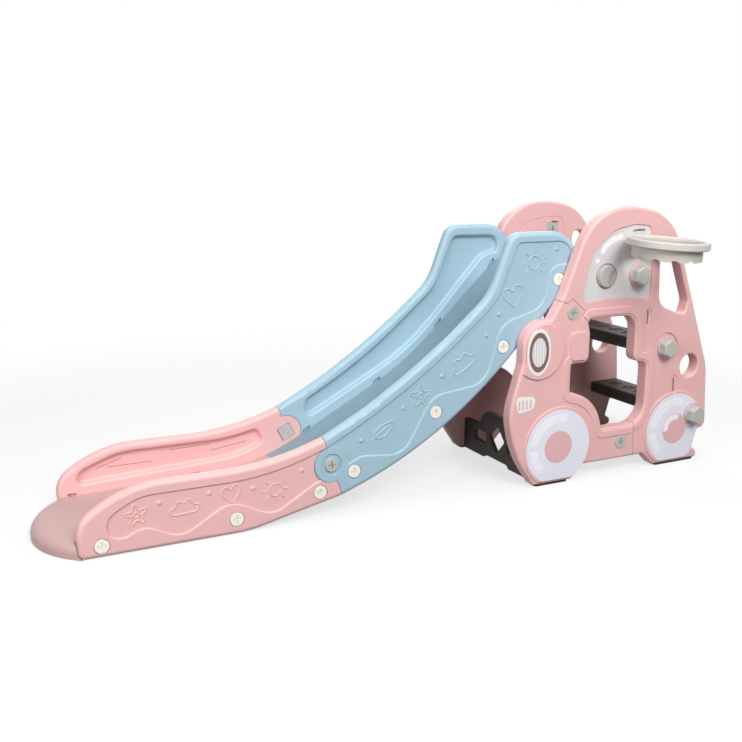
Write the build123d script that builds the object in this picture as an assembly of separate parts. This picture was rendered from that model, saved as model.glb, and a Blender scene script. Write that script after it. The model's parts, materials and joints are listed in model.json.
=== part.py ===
from build123d import *
import os
from math import radians, sin, tan

# All sizes are millimetres. X runs from the chute's foot to the steps, Y is across, Z is up.
# Outlines are lists of (x, z, radius) corners, clockwise, each corner rounded by its radius.

# Widths, from the middle plane outwards
panel_gap = 350.0
panel_thickness = 38.0
wall_thickness = 30.0
side_clearance = 1.0
bed_clearance = 1.2
fit_clearance = 0.4
overcut = 1.0
same_place = 0.01
panel_inner = panel_gap / 2
panel_outer = panel_inner + panel_thickness
cutter_reach = 20.0
clear_of_panel = panel_outer + cutter_reach
wall_outer = panel_inner - side_clearance
wall_inner = wall_outer - wall_thickness
bed_edge = wall_inner - bed_clearance
tread_end = panel_inner - fit_clearance

# Side panel: a car shape with a door, a rear window and a hand hole cut through it
pad_thickness = 5.0
sill_height = 43.0
panel_edge_radius = 8.0
opening_edge_radius = 5.0
panel_outline = [
    (1168, pad_thickness, 12),
    (1104, 100, 300),
    (1081, 212, 150),
    (1120, 346, 12),
    (1119, 458, 66),
    (1206, 459, 9),
    (1243, 521, 200),
    (1321, 725, 150),
    (1440, 752, 220),
    (1603, 729, 160),
    (1772, 284, 150),
    (1787, 94, 22),
    (1756, 94, 9),
    (1740, 36, 8),
    (1759, 26, 8),
    (1759, pad_thickness, 8),
    (1590, pad_thickness, 14),
    (1551, sill_height, 12),
    (1334, sill_height, 12),
    (1297, pad_thickness, 14),
]
door_outline = [
    (1277, 254, 9),
    (1277, 334, 8),
    (1336, 334, 20),
    (1336, 415, 25),
    (1326, 453, 12),
    (1493, 453, 40),
    (1493, 324, 22),
    (1542, 314, 22),
    (1542, 138, 62),
    (1393, 138, 8),
    (1372, 233, 128),
]
rear_window_outline = [
    (1572, 474, 46),
    (1562, 660, 18),
    (1613, 652, 22),
    (1679, 482, 24),
    (1669, 438, 16),
]
window_outline = [
    (1308, 494, 10),
    (1304, 530, 40),
    (1328, 634, 70),
    (1400, 690, 70),
    (1470, 703, 80),
    (1525, 697, 16),
    (1538, 590, 120),
    (1534, 492, 12),
    (1415, 506, 400),
]
window_depth = 4.0
back_groove_width = 5.0
back_groove_depth = 1.5
grip_hole = (1702, 290)
grip_hole_radius = 34.0

# Raised and sunk shapes on the panel's outer face
relief_root = 2.0
relief_round = 2.0
wheel_sites = [(1245, 107), (1660, 107)]
wheel_disc_radius = 113.0
wheel_disc_height = 3.0
lamp_site = (1172, 378)
lamp_disc_radius = 76.0
lamp_disc_height = 5.0
mirror_block = [(1271, 343, 14), (1271, 421, 14), (1328, 421, 14), (1328, 343, 14)]
mirror_height = 6.0
door_band_inner = 7.0
door_band_outer = 27.0
door_band_height = 2.5
slit_sites = [(1534, 443), (1648, 238)]
slit_length = 42.0
slit_width = 6.0
slit_depth = 14.0
slit_surround_length = 56.0
slit_surround_width = 24.0
slit_surround_depth = 2.0

# The panel's front piece and rear piece meet on this seam, and tongues behind it lap them
seam_gap = 1.4
front_region = [
    (1000, -20, 0),
    (1000, 600, 0),
    (1190, 524, 0),
    (1254, 499, 4),
    (1270, 511, 5),
    (1312, 477, 5),
    (1306, 463, 4),
    (1332, 436, 0),
    (1400, 400, 0),
    (1480, 172, 0),
    (1504, 154, 4),
    (1513, 45, 0),
    (1513, -20, 0),
]
tongue_thickness = panel_thickness / 2
pillar_tongue = [(1254, 440, 16), (1254, 519, 6), (1303, 519, 6), (1303, 440, 16)]
sill_tongue = [(1422, 60, 14), (1422, 124, 14), (1530, 124, 6), (1530, 60, 6)]

# Joining screws of the panels, with square nuts on the inner face
panel_screw_sites = [(1274, 474), (1464, 92)]
panel_screw_head_radius = 19.0
panel_screw_head_height = 5.0
panel_screw_radius = 7.0
square_nut_side = 34.0
square_nut_height = 9.0

# Feet: a pad under each flat foot of the panel's outline, held back from the foot's ends
front_foot_start, front_foot_end, rear_foot_start, rear_foot_end = sorted(
    x for x, z, radius in panel_outline if z == pad_thickness
)
front_pad_insets = (10.0, 11.0)
rear_pad_insets = (12.0, 9.0)
front_pad_span = (front_foot_start + front_pad_insets[0], front_foot_end - front_pad_insets[1])
rear_pad_span = (rear_foot_start + rear_pad_insets[0], rear_foot_end - rear_pad_insets[1])
pad_width = 30.0
pad_corner_radius = 8.0
spigot_radius = 5.0
spigot_length = 10.0
spigot_inset = 22.0

# Chute walls, one outline for the pink lower piece and the blue upper piece
wall_outline = [
    (-16, 0, 16),
    (-23, 84, 66),
    (48, 133, 250),
    (130, 162, 260),
    (425, 161, 700),
    (570, 207, 200),
    (825, 340, 1900),
    (1040, 531, 160),
    (1098, 687, 42),
    (1318, 687, 95),
    (1318, 568, 18),
    (899, 152, 1180),
    (619, 52, 200),
    (380, 0, 300),
]
wall_edge_radius = 13.0
wall_seam = [(-60, -40, 0), (-60, 260, 0), (553, 260, 0), (648, -40, 0)]
wall_seam_gap = 1.4
field_depth = 4.0
field_edge_round = 3.5
field_outline = [
    (47, 41, 26),
    (47, 90, 36),
    (118, 131, 120),
    (425, 131, 650),
    (578, 181, 200),
    (838, 316, 1900),
    (1062, 515, 120),
    (1118, 660, 18),
    (1292, 660, 46),
    (1292, 604, 6),
    (1226, 596, 34),
    (1206, 490, 60),
    (1072, 452, 70),
    (1032, 300, 70),
    (872, 282, 70),
    (790, 138, 60),
    (672, 150, 60),
    (540, 94, 40),
    (438, 34, 60),
    (330, 86, 60),
    (212, 18, 60),
    (130, 60, 50),
    (86, 40, 30),
]
pocket_depth = 16.0
pocket_floor_round = 8.0
pocket_edge_round = 7.5
lower_pocket = [
    (27, 68, 12),
    (39, 102, 34),
    (135, 139, 200),
    (425, 138, 400),
    (511, 156, 18),
    (523, 114, 18),
    (445, 86, 300),
]
upper_pocket = [
    (645, 164, 16),
    (651, 219, 22),
    (836, 321, 1500),
    (1057, 511, 110),
    (1115, 655, 24),
    (1262, 652, 26),
    (1266, 606, 16),
    (1216, 599, 60),
    (980, 342, 700),
]

# Round lap of the two wall pieces, held by one bolt and a square nut
lap_site = (590, 138)
lap_radius = 44.0
lap_bolt_head_radius = 17.0
lap_bolt_head_height = 6.0
lap_bolt_radius = 7.0
lap_dish_radius = 28.0
lap_dish_depth = 3.0
lap_nut_side = 36.0
lap_nut_height = 9.0
lap_nut_tilt = 27.0
lap_nut_gap = 1.5
lap_nut_sink = 6.0
lap_nut_seat = wall_inner + lap_nut_sink
lap_nut_end = lap_nut_seat - lap_nut_height

# Chute beds follow one surface line from the nose to the platform
platform_top = 592.0
nose_front = -100.0
nose_plan_radius = 202.0
nose_edge_radius = 28.0
nose_end = -8.0
nose_edge_margin = 5.0
bed_line_overrun = 10.0
bed_line = [
    (nose_front - bed_line_overrun, 38, 0),
    (505, 55.5, 550),
    (955, 297, 900),
    (1267, platform_top, 60),
    (1346, platform_top, 0),
]
lower_bed_depth = 46.0
upper_bed_depth = 30.0
bed_lap_start = 530.0
bed_lap_end = 606.0
bed_lap_depth = 7.0
slice_overlap = 20.0
bed_top_end = 1316.0
hook_depth = 12.0

# Small slots in the walls' inner faces, just above the beds
edge_slot_length = 22.0
edge_slot_height = 7.0
edge_slot_depth = 9.0
edge_slot_drop = 2.0
edge_slot_stations = [16.0, 336.0, 650.0, 868.0, 1066.0, 1243.0]

# Cap screws through the walls into bushes in the beds' edges
lower_screw_sites = [(33, 28), (346, 38), (560, 71)]
upper_screw_sites = [(652, 112), (883, 237), (1083, 391), (1252, 560)]
cap_radius = 17.0
cap_seat_gap = 1.5
cap_height = 5.0
cap_screw_radius = 6.0
bed_bush_radius = 8.0
bed_bush_length = 22.0
screw_grip = 26.0

# Treads and the hand bolts that hold them
platform_site = (1490, 563)
upper_step_site = (1607, 351)
lower_step_site = (1724, 144)
step_depth = 108.0
step_thickness = 36.0
tread_edge_radius = 8.0
platform_front = 1320.0
platform_back = 1545.0
platform_thickness = 52.0
ledge_back = bed_line[-1][0]
hand_bolt_radius = 10.0
hand_bolt_collar_radius = 29.0
hand_bolt_collar_height = 7.0
hand_bolt_flats = 47.0
hand_bolt_turn = 30.0
hand_bolt_head_height = 21.0
hand_bolt_chamfer = 3.0
hand_bolt_grip = 34.0
step_bush_radius = 16.0
step_bush_length = 24.0
dish_radius = 44.0

# Quarter-turn locks between the panels and the platform
lock_site = (1382, 565)
lock_knob_radius = 32.0
lock_knob_thickness = 7.0
lock_knob_sink = 6.0
lock_knob_gap = 2.5
lock_ridge_radius = 29.0
lock_ridge_height = 7.0
lock_ridge_round = 2.5
lock_ridge_corner = 4.0
lock_bite_radius = 36.0
lock_bite_offset = (38.0, -16.0)
lock_shaft_radius = 6.0
lock_bar_length = 32.0
lock_bar_width = 12.0
lock_bar_thickness = 8.0
lock_lip = 9.0
lock_chamber_radius = 17.5
lock_chamber_depth = 11.0

# Front cross brace between the panels, profile in (y, z)
brace_back = 1200.0
brace_thickness = 13.0
brace_floor_gap = 4.0
brace_end_height = 97.0
brace_shelf_height = 100.0
brace_hump_height = 148.0
brace_hump_half = 62.0
brace_shoulder_run = 30.0
brace_hump_round = 45.0
brace_shoulder_round = 40.0
brace_corner_round = 4.0
brace_foot_length = 110.0
brace_arch_rise = 9.0
brace_hole_width = 84.0
brace_hole_height = 92.0
brace_hole_round = 8.0
brace_hole_z = 76.0
brace_slot_width = 70.0
brace_slot_height = 34.0
brace_slot_round = 12.0
brace_slot_y = 86.0
brace_slot_z = 64.0
brace_tenon_length = 9.0
brace_tenon_height = 50.0
brace_tenon_thickness = 10.0
brace_tenon_z = 30.0

# Ball hoop on the left panel, and the plug in the right panel's slot
hoop_top = 673.0
hoop_droop = 2.5
hoop_lean = 2.5
hoop_slot_centre = 1484.5
hoop_slot_width = 41.0
hoop_slot_drop = 33.0
hoop_slot_rise = 14.0
hoop_slot_bottom = hoop_top - hoop_slot_drop
hoop_slot_top = hoop_top + hoop_slot_rise
hoop_tongue_headroom = 4.0
hoop_tongue_reach = 6.0
hoop_rim_radius = 106.0
hoop_rim_width = 12.0
hoop_rim_height = 20.0
hoop_rim_round = 4.0
hoop_bore = hoop_rim_radius - hoop_rim_width
hoop_ledge = 4.0
hoop_shelf = 2 * hoop_ledge - hoop_rim_height
hoop_skirt_wall = 3.5
hoop_skirt_drop = 34.0
hoop_scallops = 12
hoop_scallop_radius = 13.0
hoop_scallop_depth = 5.0
hoop_plate_half = 40.0
hoop_plate_thickness = 12.0
hoop_plate_gap = 0.4
hoop_plate_back = panel_outer - window_depth + hoop_plate_gap

# Screw heads and nuts
head_round = 1.5
recess_span = 1.1
recess_arm = 3.4
recess_depth = 4.0
nut_corner_radius = 2.0


def rounded_outline(corners):
    rounds = []
    for index, (x, z, radius) in enumerate(corners):
        here = Vector(x, z)
        to_last = (Vector(*corners[index - 1][:2]) - here).normalized()
        to_next = (Vector(*corners[(index + 1) % len(corners)][:2]) - here).normalized()
        half_angle = radians(to_last.get_angle(to_next)) / 2
        reach = radius / tan(half_angle)
        sagitta = radius / sin(half_angle) - radius
        middle = here + (to_last + to_next).normalized() * sagitta
        rounds.append((here + to_last * reach, middle, here + to_next * reach, radius))
    edges = []
    for last, this in zip(rounds[-1:] + rounds[:-1], rounds):
        edges.append(Line(last[2], this[0]))
        if this[3]:
            edges.append(ThreePointArc(this[0], this[1], this[2]))
    return make_face(edges)


# The corners moved to the right of their direction, inwards on a clockwise outline
def moved_path(corners, distance, closed=True):
    moved = []
    for index, (x, z, radius) in enumerate(corners):
        here = Vector(x, z)
        arriving = (here - Vector(*corners[index - 1][:2])).normalized()
        leaving = (Vector(*corners[(index + 1) % len(corners)][:2]) - here).normalized()
        if not closed and index == 0:
            arriving = leaving
        if not closed and index == len(corners) - 1:
            leaving = arriving
        sideways = Vector(arriving.Y + leaving.Y, -arriving.X - leaving.X)
        place = here + sideways * (distance / (1 + arriving.dot(leaving)))
        turn = arriving.cross(leaving).Z
        new_radius = radius + distance if turn > 0 else radius - distance
        moved.append((place.X, place.Y, max(new_radius, 0) if radius else 0))
    return moved


# A flat shape drawn in (x, z), given thickness across the slide
def plate(face, y_low, y_high):
    plane = Plane(origin=(0, y_high, 0), x_dir=(1, 0, 0), z_dir=(0, -1, 0))
    return extrude(plane * face, amount=y_high - y_low)


def left_of(shape):
    return mirror(shape, about=Plane.XZ)


def rod(site, radius, y_low, y_high):
    return plate(Pos(*site) * Circle(radius), y_low, y_high)


# Rounds the edges that lie in planes of the given y
def soften(part, radius, *levels):
    rims = [e for e in part.edges() if any(abs(e.center().Y - y) < same_place for y in levels)]
    return fillet(rims, radius)


# The recess to cut in a screw's head whose face lies at the given y
def cross_recess(site, head_radius, y_face):
    arm = Rectangle(head_radius * recess_span, recess_arm)
    return plate(Pos(*site) * (arm + Rot(0, 0, 90) * arm), y_face - recess_depth, y_face + overcut)


def square_nut(site, side, bore_radius, tilt, y_low, y_high):
    face = Rot(0, 0, tilt) * RectangleRounded(side, side, nut_corner_radius) - Circle(bore_radius)
    return plate(Pos(*site) * face, y_low, y_high)


# The part less the cutter, with the cut's edges rounded where they lie in planes of the given y
def cut_softly(part, cutter, radius, *levels):
    reach = cutter.bounding_box()
    part -= cutter
    for level in levels:
        rims = []
        for edge in part.edges():
            place = edge.center()
            within_x = reach.min.X - same_place < place.X < reach.max.X + same_place
            within_z = reach.min.Z - same_place < place.Z < reach.max.Z + same_place
            if abs(place.Y - level) < same_place and within_x and within_z:
                rims.append(edge)
        part = fillet(rims, radius)
    return part


# An opening through the panel with rounded edges on both faces
def cut_through(panel, face):
    hole = plate(face, panel_inner - overcut, panel_outer + overcut)
    return cut_softly(panel, hole, opening_edge_radius, panel_inner, panel_outer)


# Side panel with every relief and opening, before it is parted into two pieces
def whole_panel():
    panel = plate(rounded_outline(panel_outline), panel_inner, panel_outer)
    panel = soften(panel, panel_edge_radius, panel_inner, panel_outer)
    for corners in (door_outline, rear_window_outline):
        panel = cut_through(panel, rounded_outline(corners))
    panel = cut_through(panel, Pos(*grip_hole) * Circle(grip_hole_radius))
    panel += panel_reliefs()
    panel -= plate(rounded_outline(window_outline), panel_outer - window_depth, clear_of_panel)
    groove = rounded_outline(window_outline)
    groove -= rounded_outline(moved_path(window_outline, back_groove_width))
    panel -= plate(groove, panel_inner - overcut, panel_inner + back_groove_depth)
    panel -= rod(upper_step_site, dish_radius, panel_outer - window_depth, clear_of_panel)
    for site in slit_sites:
        upright = Pos(*site) * Rot(0, 0, 90)
        surround = upright * SlotOverall(slit_surround_length, slit_surround_width)
        slit = upright * SlotOverall(slit_length, slit_width)
        panel -= plate(surround, panel_outer - slit_surround_depth, clear_of_panel)
        panel -= plate(slit, panel_outer - slit_depth, panel_outer)
    panel -= plate(hoop_slot_face(0), panel_inner - overcut, panel_outer)
    return panel - panel_bores()


def panel_reliefs():
    inside = rounded_outline(moved_path(panel_outline, panel_edge_radius))
    band = rounded_outline(moved_path(door_outline, -door_band_outer))
    band -= rounded_outline(moved_path(door_outline, -door_band_inner))
    shapes = [(rounded_outline(mirror_block), mirror_height), (band & inside, door_band_height)]
    for site in wheel_sites:
        shapes.append(((Pos(*site) * Circle(wheel_disc_radius)) & inside, wheel_disc_height))
    shapes.append(((Pos(*lamp_site) * Circle(lamp_disc_radius)) & inside, lamp_disc_height))
    reliefs = Part()
    for face, height in shapes:
        top = panel_outer + height
        reliefs += soften(plate(face, panel_outer - relief_root, top), relief_round, top)
    return reliefs


def panel_bores():
    bores = Part()
    for site in (platform_site, upper_step_site, lower_step_site):
        bores += rod(site, hand_bolt_radius + fit_clearance, panel_inner - overcut, clear_of_panel)
    for site in panel_screw_sites:
        bores += rod(site, panel_screw_radius + fit_clearance, panel_inner - overcut, clear_of_panel)
        seat = panel_outer - panel_screw_head_height / 2
        bores += rod(site, panel_screw_head_radius + fit_clearance, seat, clear_of_panel)
    knob_seat = panel_outer - window_depth - lock_knob_sink
    bores += rod(lock_site, lock_shaft_radius + fit_clearance, panel_inner - overcut, panel_outer)
    bores += rod(lock_site, lock_knob_radius + lock_knob_gap, knob_seat, panel_outer)
    bores += brace_tenon(fit_clearance)
    for span in (front_pad_span, rear_pad_span):
        bores += pad_spigots(span, fit_clearance)
    return bores


def panel_pieces():
    whole = whole_panel()
    under = panel_inner - overcut
    front = whole & plate(rounded_outline(front_region), under, clear_of_panel)
    rear = whole - plate(rounded_outline(moved_path(front_region, -seam_gap)), under, clear_of_panel)
    tongue_top = panel_inner + tongue_thickness
    for corners in (pillar_tongue, sill_tongue):
        rear += plate(rounded_outline(corners), panel_inner, tongue_top - fit_clearance)
        front -= plate(rounded_outline(moved_path(corners, -fit_clearance)), under, tongue_top)
    bores = panel_bores()
    return front - bores, rear - bores


# The walls of one side: one blank with rail, field and pocket, parted on a seam with round laps
def wall_pieces():
    below = wall_inner - overcut
    above = wall_outer + overcut
    blank = plate(rounded_outline(wall_outline), wall_inner, wall_outer)
    blank = soften(blank, wall_edge_radius, wall_inner, wall_outer)
    field = plate(rounded_outline(field_outline), wall_outer - field_depth, above)
    blank = cut_softly(blank, field, field_edge_round, wall_outer)
    for corners in (lower_pocket, upper_pocket):
        floor = wall_inner + pocket_depth
        pocket = soften(plate(rounded_outline(corners), below, floor), pocket_floor_round, floor)
        blank = cut_softly(blank, pocket, pocket_edge_round, wall_inner)
    lower = blank & plate(rounded_outline(wall_seam), below, above)
    upper = blank - plate(rounded_outline(moved_path(wall_seam, -wall_seam_gap)), below, above)
    middle = (wall_inner + wall_outer) / 2
    lower -= rod(lap_site, lap_radius + wall_seam_gap, middle, above)
    lower += rod(lap_site, lap_radius, wall_inner, middle)
    upper -= rod(lap_site, lap_radius + wall_seam_gap, below, middle)
    upper += rod(lap_site, lap_radius, middle, wall_outer)
    upper -= rod(lap_site, lap_dish_radius, wall_outer - lap_dish_depth, above)
    bore = rod(lap_site, lap_bolt_radius + fit_clearance, below, above)
    recess_side = lap_nut_side + 2 * lap_nut_gap
    recess = Rot(0, 0, lap_nut_tilt) * RectangleRounded(recess_side, recess_side, nut_corner_radius)
    lower -= plate(Pos(*lap_site) * recess, below, lap_nut_seat)
    slots = edge_slots()
    lower -= wall_screw_bores(lower_screw_sites) + bore + slots
    upper -= wall_screw_bores(upper_screw_sites) + bore + slots
    return lower, upper


def edge_slots():
    slots = Part()
    for x in edge_slot_stations:
        x_from = x - edge_slot_length / 2
        band = bed_slice(-edge_slot_height, edge_slot_drop, x_from, x_from + edge_slot_length)
        slots += plate(band, wall_inner - overcut, wall_inner + edge_slot_depth)
    return slots


def wall_screw_bores(sites):
    bores = Part()
    for site in sites:
        bores += rod(site, cap_screw_radius + fit_clearance, wall_inner - overcut, wall_outer + overcut)
        bores += rod(site, cap_radius + cap_seat_gap, wall_outer - cap_height, wall_outer + overcut)
    return bores


def cap_screws(sites):
    screws = []
    seat = wall_outer - cap_height
    for site in sites:
        head = soften(rod(site, cap_radius, seat, wall_outer), head_round, wall_outer)
        screw = head + rod(site, cap_screw_radius, bed_edge - screw_grip, seat)
        screws.append(screw - cross_recess(site, cap_radius, wall_outer))
    return screws


def bed_bushes(sites):
    bushes = []
    for site in sites:
        bush = rod(site, bed_bush_radius, bed_edge - bed_bush_length, bed_edge)
        bushes.append(bush - rod(site, cap_screw_radius + fit_clearance, 0, bed_edge + overcut))
    return bushes


def lap_bolt():
    seat = wall_outer - lap_dish_depth
    top = seat + lap_bolt_head_height
    head = soften(rod(lap_site, lap_bolt_head_radius, seat, top), head_round, top)
    bolt = head + rod(lap_site, lap_bolt_radius, lap_nut_end, seat)
    return bolt - cross_recess(lap_site, lap_bolt_head_radius, top)


def lap_nut():
    bore = lap_bolt_radius + fit_clearance
    return square_nut(lap_site, lap_nut_side, bore, lap_nut_tilt, lap_nut_end, lap_nut_seat)


# A slice of the chute floor between two depths under its surface line and two stations
def bed_slice(depth_from, depth_to, x_from, x_to):
    above = moved_path(bed_line, depth_from, closed=False)
    below = moved_path(bed_line, depth_to, closed=False)
    face = rounded_outline(above + below[::-1])
    window = Pos((x_from + x_to) / 2, platform_top / 2) * Rectangle(x_to - x_from, platform_top)
    return face & window


def bed_bores(sites):
    bores = Part()
    pocket = bed_edge - bed_bush_length
    tip = bed_edge - screw_grip - overcut
    for site in sites:
        bores += rod(site, bed_bush_radius + fit_clearance / 2, pocket, bed_edge + overcut)
        bores += rod(site, cap_screw_radius + fit_clearance, tip, bed_edge + overcut)
    return bores + left_of(bores)


def lower_bed():
    floor = bed_slice(0, lower_bed_depth, nose_front, bed_lap_end)
    floor -= bed_slice(-overcut, bed_lap_depth, bed_lap_start, bed_lap_end + overcut)
    blank = plate(floor, -wall_outer, wall_outer)
    nose_length = nose_end - nose_front
    nose = Pos(nose_front + nose_plan_radius, 0) * Circle(nose_plan_radius)
    nose &= Pos(nose_front + nose_length / 2, 0) * Rectangle(nose_length, 2 * wall_outer)
    run = nose_end - overcut
    body = Pos((run + bed_lap_end) / 2, 0) * Rectangle(bed_lap_end - run, 2 * bed_edge)
    bed = blank & extrude(nose + body, amount=platform_top)
    ahead = [e for e in bed.edges() if e.center().X < nose_end - nose_edge_margin]
    front_edges = [e for e in ahead if e.center().Z > nose_edge_radius]
    room = plate(rounded_outline(moved_path(wall_outline, -side_clearance)), bed_edge, clear_of_panel)
    bed = fillet(front_edges, nose_edge_radius) - room - left_of(room)
    return bed - bed_bores(lower_screw_sites)


def upper_bed():
    floor = bed_slice(0, upper_bed_depth, bed_lap_end + side_clearance, bed_top_end)
    lap_end = bed_lap_end + slice_overlap
    floor += bed_slice(0, bed_lap_depth - fit_clearance, bed_lap_start + fit_clearance, lap_end)
    floor += bed_slice(0, hook_depth, bed_top_end - slice_overlap, ledge_back - fit_clearance)
    return plate(floor, -bed_edge, bed_edge) - bed_bores(upper_screw_sites)


# Threaded bush pockets in both ends of a tread
def tread_bores(site):
    pocket = tread_end - step_bush_length
    tip = tread_end - hand_bolt_grip - overcut
    bore = rod(site, step_bush_radius + fit_clearance / 2, pocket, tread_end + overcut)
    bore += rod(site, hand_bolt_radius + fit_clearance, tip, tread_end + overcut)
    return bore + left_of(bore)


def step(site):
    x, z = site
    blank = Pos(x, 0, z) * Box(step_depth, 2 * tread_end, step_thickness)
    return fillet(blank.edges().filter_by(Axis.Y), tread_edge_radius) - tread_bores(site)


def top_platform():
    length = platform_back - platform_front
    middle = Pos(platform_front + length / 2, 0, platform_top - platform_thickness / 2)
    blank = middle * Box(length, 2 * tread_end, platform_thickness)
    back_edges = blank.edges().filter_by(Axis.Y).sort_by(Axis.X)[2:]
    platform = fillet(back_edges, tread_edge_radius)
    ledge_length = ledge_back - platform_front
    ledge = Pos(platform_front + ledge_length / 2, 0, platform_top - hook_depth / 2)
    platform -= ledge * Box(ledge_length, 2 * wall_inner, hook_depth)
    platform -= tread_bores(platform_site)
    chamber = lock_chamber()
    return platform - chamber - left_of(chamber)


# Keyway and round chamber that the lock's cross bar passes and turns behind
def lock_chamber():
    lip_end = tread_end - lock_lip
    bar = Rectangle(lock_bar_length + 2 * fit_clearance, lock_bar_width + 2 * fit_clearance)
    keyway = plate(Pos(*lock_site) * bar, lip_end, tread_end + overcut)
    return keyway + rod(lock_site, lock_chamber_radius, lip_end - lock_chamber_depth, lip_end)


def twist_lock():
    seat = panel_outer - window_depth - lock_knob_sink
    top = seat + lock_knob_thickness
    knob = soften(rod(lock_site, lock_knob_radius, seat, top), head_round, top)
    ridge = Circle(lock_ridge_radius) - Pos(*lock_bite_offset) * Circle(lock_bite_radius)
    ridge = fillet(ridge.vertices(), lock_ridge_corner)
    ridge_top = top + lock_ridge_height
    knob += soften(plate(Pos(*lock_site) * ridge, top, ridge_top), lock_ridge_round, ridge_top)
    bar_top = tread_end - lock_lip - fit_clearance
    bar = Pos(*lock_site) * Rectangle(lock_bar_width, lock_bar_length)
    lock = knob + rod(lock_site, lock_shaft_radius, bar_top, seat)
    return lock + plate(bar, bar_top - lock_bar_thickness, bar_top)


def hand_bolt(site, seat):
    collar_top = seat + hand_bolt_collar_height
    top = collar_top + hand_bolt_head_height
    collar = soften(rod(site, hand_bolt_collar_radius, seat, collar_top), head_round, collar_top)
    flats = RegularPolygon(hand_bolt_flats / 2, 6, major_radius=False, rotation=hand_bolt_turn)
    head = plate(Pos(*site) * flats, collar_top, top)
    rim = [e for e in head.edges() if abs(e.center().Y - top) < same_place]
    head = chamfer(rim, hand_bolt_chamfer)
    return collar + head + rod(site, hand_bolt_radius, tread_end - hand_bolt_grip, seat)


def step_bush(site):
    bush = rod(site, step_bush_radius, tread_end - step_bush_length, tread_end)
    return bush - rod(site, hand_bolt_radius + fit_clearance, 0, tread_end + overcut)


def panel_screw(site):
    seat = panel_outer - panel_screw_head_height / 2
    top = seat + panel_screw_head_height
    head = soften(rod(site, panel_screw_head_radius, seat, top), head_round, top)
    screw = head + rod(site, panel_screw_radius, panel_inner - square_nut_height, seat)
    return screw - cross_recess(site, panel_screw_head_radius, top)


def panel_nut(site):
    bore = panel_screw_radius + fit_clearance
    return square_nut(site, square_nut_side, bore, 0, panel_inner - square_nut_height, panel_inner)


def pad_spigots(span, clearance):
    middle = (panel_inner + panel_outer) / 2
    length = spigot_length + clearance
    spigot = Cylinder(spigot_radius + clearance / 2, length)
    spigots = Part()
    for x in (span[0] + spigot_inset, span[1] - spigot_inset):
        spigots += Pos(x, middle, pad_thickness + length / 2) * spigot
    return spigots


def foot_pad(span):
    middle = (panel_inner + panel_outer) / 2
    face = Pos((span[0] + span[1]) / 2, middle) * RectangleRounded(
        span[1] - span[0], pad_width, pad_corner_radius
    )
    return extrude(face, amount=pad_thickness) + pad_spigots(span, 0)


def brace_tenon(clearance):
    thickness = brace_tenon_thickness + 2 * clearance
    height = brace_tenon_height + 2 * clearance
    length = overcut + brace_tenon_length + clearance
    x = brace_back - brace_thickness / 2
    y = tread_end - overcut + length / 2
    z = brace_tenon_z + brace_tenon_height / 2
    return Pos(x, y, z) * Box(thickness, length, height)


def front_brace():
    end = tread_end
    hump = brace_hump_half
    shelf = hump + brace_shoulder_run
    arch_start = end - brace_foot_length
    arch_side = arch_start - brace_arch_rise
    arch_height = brace_floor_gap + brace_arch_rise
    half = [
        (hump, brace_hump_height, brace_hump_round),
        (shelf, brace_shelf_height, brace_shoulder_round),
        (end, brace_end_height, brace_corner_round),
        (end, brace_floor_gap, brace_corner_round),
        (arch_start, brace_floor_gap, brace_corner_round),
        (arch_side, arch_height, brace_corner_round),
    ]
    across = brace_hole_width / 2
    tall = brace_hole_height / 2
    diamond = [
        (0, brace_hole_z - tall, brace_hole_round),
        (-across, brace_hole_z, brace_hole_round),
        (0, brace_hole_z + tall, brace_hole_round),
        (across, brace_hole_z, brace_hole_round),
    ]
    face = rounded_outline(half + [(-y, z, radius) for y, z, radius in half[::-1]])
    face -= rounded_outline(diamond)
    slot = RectangleRounded(brace_slot_width, brace_slot_height, brace_slot_round)
    for y in (-brace_slot_y, brace_slot_y):
        face -= Pos(y, brace_slot_z) * slot
    plane = Plane(origin=(brace_back, 0, 0), x_dir=(0, 1, 0), z_dir=(1, 0, 0))
    tenon = brace_tenon(0)
    return extrude(plane * face, amount=-brace_thickness) + tenon + left_of(tenon)


# Section of the slot in both panels, or of a tongue that fits it with the given play
def hoop_slot_face(play):
    headroom = hoop_tongue_headroom if play else 0
    bottom = hoop_slot_bottom + play
    top = hoop_slot_top - headroom
    return Pos(hoop_slot_centre, (bottom + top) / 2) * Rectangle(hoop_slot_width - 2 * play, top - bottom)


# The ring's middle, from where it hangs on the bracket with a slight droop and lean
def hoop_centre():
    y = hoop_plate_back + hoop_plate_thickness / 2
    hang = Pos(hoop_slot_centre, -y, hoop_top) * Rot(hoop_droop, hoop_lean, 0)
    return hang * Pos(0, -hoop_rim_radius, 0)


def ring_section(inner, outer, low, high):
    return Pos((inner + outer) / 2, (low + high) / 2) * Rectangle(outer - inner, high - low)


def hoop_ring():
    section = ring_section(hoop_bore, hoop_rim_radius, -hoop_rim_height, 0)
    section = fillet(section.vertices(), hoop_rim_round)
    shelf_inner = hoop_bore - hoop_ledge
    shelf_low = hoop_shelf - hoop_ledge
    section += ring_section(shelf_inner, hoop_bore + overcut, shelf_low, hoop_shelf)
    rim = hoop_centre() * revolve(Plane.XZ * section, Axis.Z)
    middle = Pos(hoop_slot_centre, hoop_top - hoop_rim_height / 2)
    back = middle * RectangleRounded(2 * hoop_plate_half, hoop_rim_height, hoop_rim_round)
    bracket = plate(back, hoop_plate_back, hoop_plate_back + hoop_plate_thickness)
    tongue_end = panel_inner - hoop_tongue_reach
    bracket += plate(hoop_slot_face(fit_clearance), tongue_end, hoop_plate_back + overcut)
    opening = Cylinder(hoop_bore, 2 * hoop_rim_height)
    return rim + (left_of(bracket) - hoop_centre() * opening)


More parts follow.
